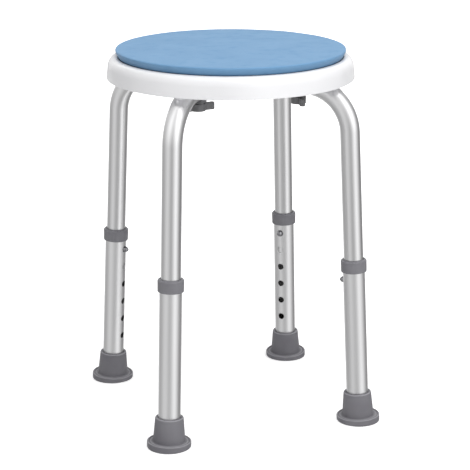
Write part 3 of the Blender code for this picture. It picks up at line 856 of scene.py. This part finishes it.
def rubber_material():
    """Matte rubber, its rims made paler by a painted highlight where light catches them."""
    made, nodes = moulded_material("foot_rubber", (0.132, 0.129, 0.143), (0.160, 0.157, 0.171),
                                   roughness=0.58, grain=1300.0, depth=0.00009, drift=24.0)
    preset(nodes["shader"], {"Specular IOR Level": 0.25})
    # Painted highlight: the base colour is mixed toward the paler rim grey where the rim highlight attribute is
    # set.
    painted_rim_highlight = add(made.node_tree, "ShaderNodeAttribute", attribute_name="painted_rim_highlight")
    share, plain, highlight_entry, mixed = 0, 6, 7, 2
    highlighted = add(made.node_tree, "ShaderNodeMix", [(painted_rim_highlight, "Fac", share), (nodes["tone"], "Color", plain)],
                data_type="RGBA")
    highlighted.inputs[highlight_entry].default_value = rim_highlight_grey
    wire(highlighted, mixed, nodes["shader"], "Base Color")
    return made


foot_rubber = rubber_material()


def foot_section():
    """Section from the sole's middle, out over the treads and flange, up the cone and down the socket."""
    treads = [(0, tread_depth)]
    pitch = (foot_radius - tread_margin) / tread_rings
    for k in range(tread_rings):
        inner = pitch * (k + tread_gap)
        outer = pitch * (k + 1)
        treads += [(inner, tread_depth, tread_ease), (inner + tread_ease, 0, tread_ease),
                   (outer - tread_ease, 0, tread_ease), (outer, tread_depth, tread_ease)]
    inner = foot_radius - sole_rim
    shelf = foot_flange - foot_draft
    floor = foot_flange - foot_step
    body = [(inner, tread_depth, tread_ease), (inner + tread_ease, 0, tread_ease),
            (foot_radius - foot_draft, 0, 0.0008), (foot_radius, floor, 0.0005),
            (foot_ring, foot_flange, 0.0004), (foot_ring - foot_bead, foot_flange, 0.0003),
            (foot_ring - foot_bead - bead_slope, floor, 0.0002),
            (foot_ring - foot_groove + foot_slope, floor, 0.0002),
            (foot_ring - foot_groove, shelf, 0.0002), (foot_waist + foot_slope, shelf, 0.0008),
            (foot_top, foot_height - foot_rim, 0.0006), (foot_top - foot_rim, foot_height, 0.0006),
            (sleeve_socket + foot_slope, foot_height, 0.0003),
            (sleeve_socket, foot_height - foot_mouth, 0.0003), (sleeve_socket, foot_sole),
            (0, foot_sole)]
    return rounded(treads + body, 5)


def levelled_foot(tag):
    """The turned foot with its lower part sheared so that the sole lies level."""
    made = lathe("rubber_foot_" + tag, foot_section(), 96)
    # Painted highlight: 1 on the rims, fading within a small reach, to lighten their colour as if lit.
    painted_rim_highlight = made.data.attributes.new("painted_rim_highlight", "FLOAT", "POINT")
    for vert in made.data.vertices:
        away = min(math.dist((vert.co.xy.length, vert.co.z), rim) for rim in foot_rims)
        painted_rim_highlight.data[vert.index].value = max(0.0, 1 - away / rim_highlight_reach)
        share = max(0.0, min(1.0, 1 - vert.co.z / foot_flange))
        vert.co.z += vert.co.x * math.tan(leg_tilt) * share
    made.data.transform(leg_place(tag))
    return made


for tag in soles:
    dress(levelled_foot(tag), foot_rubber, "lower_leg_" + tag, "foot_rubber", "foot_" + tag)
    frame["nodes"]["foot_washer_" + tag].data.materials[0] = zinc_steel

# Snap buttons: domed steel pins pushed out through tube and sleeve by a strip of spring steel, bent to a
# hairpin inside the tube. The button's flange stops against the bore; a press closes the hairpin.
button_radius = 0.0041
button_flange = 0.0048
button_face = math.sqrt((tube_bore - clearance) ** 2 - button_flange ** 2)
button_base = 0.0010
button_proud = 0.0055
button_dome = 0.0032
button_nose = 0.0019
strip_width = 0.0060
strip_thick = 0.0006
strip_length = 0.0390
strip_tail = 0.0060
strip_fold = 0.0026
spring_steel, _ = metal_material("spring_steel", (0.19, 0.19, 0.20), (0.25, 0.25, 0.26), roughness=0.16,
                                 lines=900.0, depth=0.00002)
button_back = button_face - button_base
button_tip = sleeve_radius + button_proud
button_section = rounded(((0, button_back), (button_flange, button_back, 0.0002),
                          (button_flange, button_face, 0.0002), (button_radius, button_face, 0.0002),
                          (button_radius, button_tip - button_dome, 0.0012),
                          (button_nose, button_tip - 0.0003, 0.0015), (0, button_tip)), 7)
strip_near = button_back - clearance - strip_thick / 2
strip_far = strip_thick / 2 - math.sqrt((tube_bore - clearance) ** 2 - (strip_width / 2) ** 2)


def spring_strip(name, place):
    """A strip bent to a hairpin behind the button, its wide side across the tube."""
    middle = (strip_near + strip_far) / 2
    shoulder = strip_length - strip_fold
    line = rounded(((strip_near, -strip_tail), (strip_near, strip_tail, 0.0050),
                    (middle + strip_fold, shoulder, 0.0030), (middle, strip_length, 0.0018),
                    (middle - strip_fold, shoulder, 0.0030), (strip_far, 0, 0.0050),
                    (strip_far, -strip_tail)), 5)
    bm = bmesh.new()
    rings = []
    for i, point in enumerate(line):
        along = (Vector(line[min(i + 1, len(line) - 1)]) - Vector(line[max(i - 1, 0)])).normalized()
        across = along.orthogonal() * strip_thick / 2
        ring = []
        for side, edge in ((1, 1), (1, -1), (-1, -1), (-1, 1)):
            spot = Vector(point) + across * side
            ring.append(bm.verts.new((spot.x, edge * strip_width / 2, spot.y)))
        rings.append(ring)
    for ring, following in zip(rings, rings[1:]):
        joined(bm, ring, following)
    for end in (rings[0], rings[-1]):
        bm.faces.new(end)
    return finished_piece(name, bm, place)


for tag in soles:
    pin = lathe("snap_pin_" + tag, button_section, 48, button_place(tag))
    dress(pin, spring_steel, "button_" + tag, "steel", "snap_button_" + tag)
    place = leg_place(tag) @ Matrix.Translation((0, 0, button_level))
    strip = spring_strip("spring_strip_" + tag, place)
    dress(strip, spring_steel, "frame", "steel", "snap_spring_" + tag)
    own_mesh(strip)

# Leg fixings: under each tube a moulded saddle, and a winged hand knob whose stud goes up through saddle,
# tube and shell into a hexagon nut. The wings end in a bead for the fingers.
knob_low, knob_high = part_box("leg_knob_front_left")
knob_bottom, knob_top = knob_low[2], knob_high[2]
knob_radius = 0.0098
wing_span = 0.0232
wing_web = 0.0028
wing_bead = 0.0036
knob_ease = 0.0009
knob_dish = 0.0008
dish_wall = 0.0035
saddle_ease = 0.0006
thread_pitch = 0.00125
thread_crest = 0.0040
thread_valley = 0.0034
thread_tip = 0.0030
valley_share = 0.45
crest_share = 0.9
thread_start = 0.0060
thread_end = 0.0015
wing_turns = {"front_left": 10.0, "front_right": 263.0, "rear_right": 160.0, "rear_left": 160.0}
dark_moulding, _ = moulded_material("dark_grey_moulding", (0.085, 0.085, 0.088), (0.110, 0.110, 0.114),
                                    roughness=0.46, grain=1000.0, depth=0.00008, drift=35.0)


def arc(centre, radius, start, end, steps):
    return [(centre + radius * math.cos(start + (end - start) * k / steps),
             radius * math.sin(start + (end - start) * k / steps)) for k in range(steps + 1)]


def knob_outline():
    """Plan of the knob: a round hub, two webs and a bead at each wing's end."""
    root = math.asin(wing_web / knob_radius)
    tip = math.asin(wing_web / wing_bead)
    half = arc(wing_span - wing_bead, wing_bead, tip - math.pi, math.pi - tip, 14)
    half += arc(0.0, knob_radius, root, math.pi - root, 16)
    return half + [(-x, -y) for x, y in half]


def winged_knob(tag):
    """The knob's plan drawn out to its height, with eased edges, a dished underside and a stud hole."""
    bm = bmesh.new()
    rings = [[bm.verts.new((x, y, level)) for x, y in knob_outline()] for level in (knob_bottom, knob_top)]
    joined(bm, *rings)
    for ring in rings:
        bm.faces.new(ring)
    middle = around(leg_side(tag), knob_circle).translation
    turned = Matrix.Translation(middle) @ Matrix.Rotation(math.radians(wing_turns[tag]), 4, "Z")
    made = finished_piece("winged_knob_" + tag, bm, turned)
    eased(made, knob_ease, 3)
    dish = rod("dish", knob_radius - dish_wall, knob_bottom - cut_past, knob_bottom + knob_dish, turned)
    hole = rod("stud_room", stud_hole, stud_low[2] - clearance, knob_top + cut_past, turned, 32)
    cut(made, [dish, hole])
    return made


def saddle(tag):
    """A copy of the saddle's solid with its edges eased."""
    bm = bmesh.new()
    bm.from_mesh(frame["nodes"]["leg_saddle_" + tag].data)
    bmesh.ops.remove_doubles(bm, verts=bm.verts, dist=0.00001)
    bmesh.ops.dissolve_limit(bm, angle_limit=math.radians(2), verts=bm.verts, edges=bm.edges)
    made = finished_piece("saddle_block_" + tag, bm, Matrix())
    eased(made, saddle_ease)
    return made


def threaded_stud(tag):
    """A stud with rolled thread crests, eased at its tip."""
    low, high = stud_low[2], stud_high[2]
    section = [(0, low), (thread_crest, low), (thread_crest, low + thread_start)]
    for k in range(int((high - low - thread_start - thread_end) / thread_pitch)):
        level = low + thread_start + thread_pitch * k
        section += [(thread_valley, level + thread_pitch * valley_share),
                    (thread_crest, level + thread_pitch * crest_share)]
    section += [(thread_tip, high), (0, high)]
    return lathe("knob_thread_" + tag, section, 32, around(leg_side(tag), knob_circle), sharp=25.0)


for tag in soles:
    dress(winged_knob(tag), dark_moulding, "knob_" + tag, "grey_plastic", "leg_knob_" + tag)
    dress(threaded_stud(tag), zinc_steel, "knob_" + tag, "steel", "knob_stud_" + tag)
    dress(saddle(tag), dark_moulding, "frame", "grey_plastic", "leg_saddle_" + tag)
    frame["nodes"]["captive_nut_" + tag].data.materials[0] = zinc_steel

# Studio: a plain pale floor that runs out to white, soft panels above, in front and below, even light all
# round and, under the shell, the light that its thin wall lets through. The tubes mirror tall soft screens
# that stand round the stool, not the floor and the panels.
floor_size = 7.0
floor_drop = 0.0004
floor_near = 0.35
floor_far = 1.60
floor_bounce = 0.05
floor_glow = (0.40 - floor_bounce, 0.90 - floor_bounce)
even_light = 0.57
backdrop_light = 1.10
screen_light = 1.43
overhead_light = 2.65
overhead_from = -0.22
overhead_to = 0.55
screens = ((-175, 0.40), (-163, 0.42), (-150, 0.85), (-136, 0.46), (-118, 0.36), (-95, 0.39), (-66, 0.56),
           (-45, 0.66), (-29, 0.56), (-7, 0.39), (6, 0.40), (28, 0.70), (47, 1.00), (66, 0.80), (82, 0.54),
           (100, 0.29), (122, 0.18), (138, 0.26), (152, 0.75), (165, 0.42), (175, 0.40))


def studio_floor():
    bm = bmesh.new()
    bmesh.ops.create_grid(bm, x_segments=1, y_segments=1, size=floor_size)
    floor = finished_piece("studio_floor", bm, Matrix.Translation((0, 0, -floor_drop)))
    made, tree, shader = new_material("pale_floor", 0.8)
    place = add(tree, "ShaderNodeTexCoord")
    tone = ramp(noise(place, "Object", 3.0), 0, ((0.3, (0.86, 0.86, 0.86)), (0.7, (0.90, 0.90, 0.90))))
    wire(tone, "Color", shader, "Base Color")
    reach = add(tree, "ShaderNodeVectorMath", [(place, "Object", 0)], operation="LENGTH")
    glow = spread(reach, "Value", *floor_glow, floor_near, floor_far)
    rays = add(tree, "ShaderNodeLightPath")
    seen = add(tree, "ShaderNodeMath", [(glow, "Result", 0), (rays, "Is Camera Ray", 1)],
               operation="MULTIPLY_ADD")
    seen.inputs[2].default_value = floor_bounce
    preset(shader, {"Emission Color": (1.0, 1.0, 1.0, 1.0)})
    wire(seen, 0, shader, "Emission Strength")
    floor.data.materials.append(made)
    floor.visible_glossy = False


def panel(name, position, target, width, height, watts):
    """A soft light panel facing its target, seen neither by the camera nor in shiny surfaces."""
    light = given(bpy.data.lights.new(name, "AREA"), shape="RECTANGLE", size=width, size_y=height,
                  energy=watts)
    facing = (Vector(target) - Vector(position)).to_track_quat("-Z", "Y").to_euler()
    given(linked(name, light), location=position, rotation_euler=facing, visible_camera=False,
          visible_glossy=False)


camera_place = (-0.7276, -2.0388, 0.8565)
camera_pitch = math.radians(90.0 - 16.10)
camera_turn = math.radians(-19.78)
camera_roll = math.radians(-0.08)
camera_focal = 128.96
camera_sensor = 36.0
camera_side = math.atan2(camera_place[1], camera_place[0])


def surroundings():
    """Even light with a white backdrop, and for mirrored rays tall soft screens with dark gaps all round."""
    world = bpy.data.worlds.new("white_studio")
    bpy.context.scene.world = world
    world.use_nodes = True
    tree = world.node_tree
    rays = add(tree, "ShaderNodeLightPath")
    even = tree.nodes["Background"]
    preset(even, {"Color": (1.0, 1.0, 1.0, 1.0)})
    wire(spread(rays, "Is Camera Ray", even_light, backdrop_light), "Result", even, "Strength")
    place = add(tree, "ShaderNodeTexCoord")
    turned = add(tree, "ShaderNodeMapping", [(place, "Generated", "Vector")])
    preset(turned, {"Rotation": (0.0, 0.0, -camera_side)})
    sweep = add(tree, "ShaderNodeTexGradient", [(turned, "Vector", "Vector")], gradient_type="RADIAL")
    tones = ramp(sweep, "Fac", [(0.5 + turn / 360, (tone, tone, tone)) for turn, tone in screens])
    tones.color_ramp.interpolation = "EASE"
    height = add(tree, "ShaderNodeSeparateXYZ", [(place, "Generated", "Vector")])
    climb = spread(height, "Z", screen_light, overhead_light, overhead_from, overhead_to)
    mirrored = add(tree, "ShaderNodeBackground", [(tones, "Color", "Color"), (climb, "Result", "Strength")])
    either = add(tree, "ShaderNodeMixShader", [(rays, "Is Glossy Ray", 0), (even, 0, 1), (mirrored, 0, 2)])
    wire(either, 0, tree.nodes["World Output"], "Surface")


studio_floor()
surroundings()
lit_place = (0, 0, 0.4)
top_place = around(camera_side + math.radians(40), radius=0.45, height=2.2).translation
panel("top_panel", top_place, lit_place, width=2.0, height=2.0, watts=36.0)
front_place = around(camera_side + math.radians(23), radius=1.6, height=0.7).translation
panel("front_panel", front_place, lit_place, width=0.9, height=0.9, watts=8.5)
panel("under_panel", (0, 0, 0.24), (0, 0, 0.44), width=0.2, height=0.2, watts=0.25)
for tag in soles:
    glow_place = around(leg_side(tag), radius=0.1400, height=0.4565).translation
    glow_target = around(leg_side(tag), radius=0.1550, height=0.4640).translation
    panel("glow_" + tag, glow_place, glow_target, width=0.026, height=0.012, watts=0.0026)
camera = linked("photo_camera", bpy.data.cameras.new("photo_camera"))
given(camera.data, sensor_width=camera_sensor, lens=camera_focal)
camera.location = camera_place
camera.rotation_euler = (Matrix.Rotation(camera_turn, 3, "Z") @ Matrix.Rotation(camera_pitch, 3, "X")
                         @ Matrix.Rotation(camera_roll, 3, "Z")).to_euler()
bpy.context.scene.camera = camera
bpy.context.scene.view_settings.view_transform = "Standard"
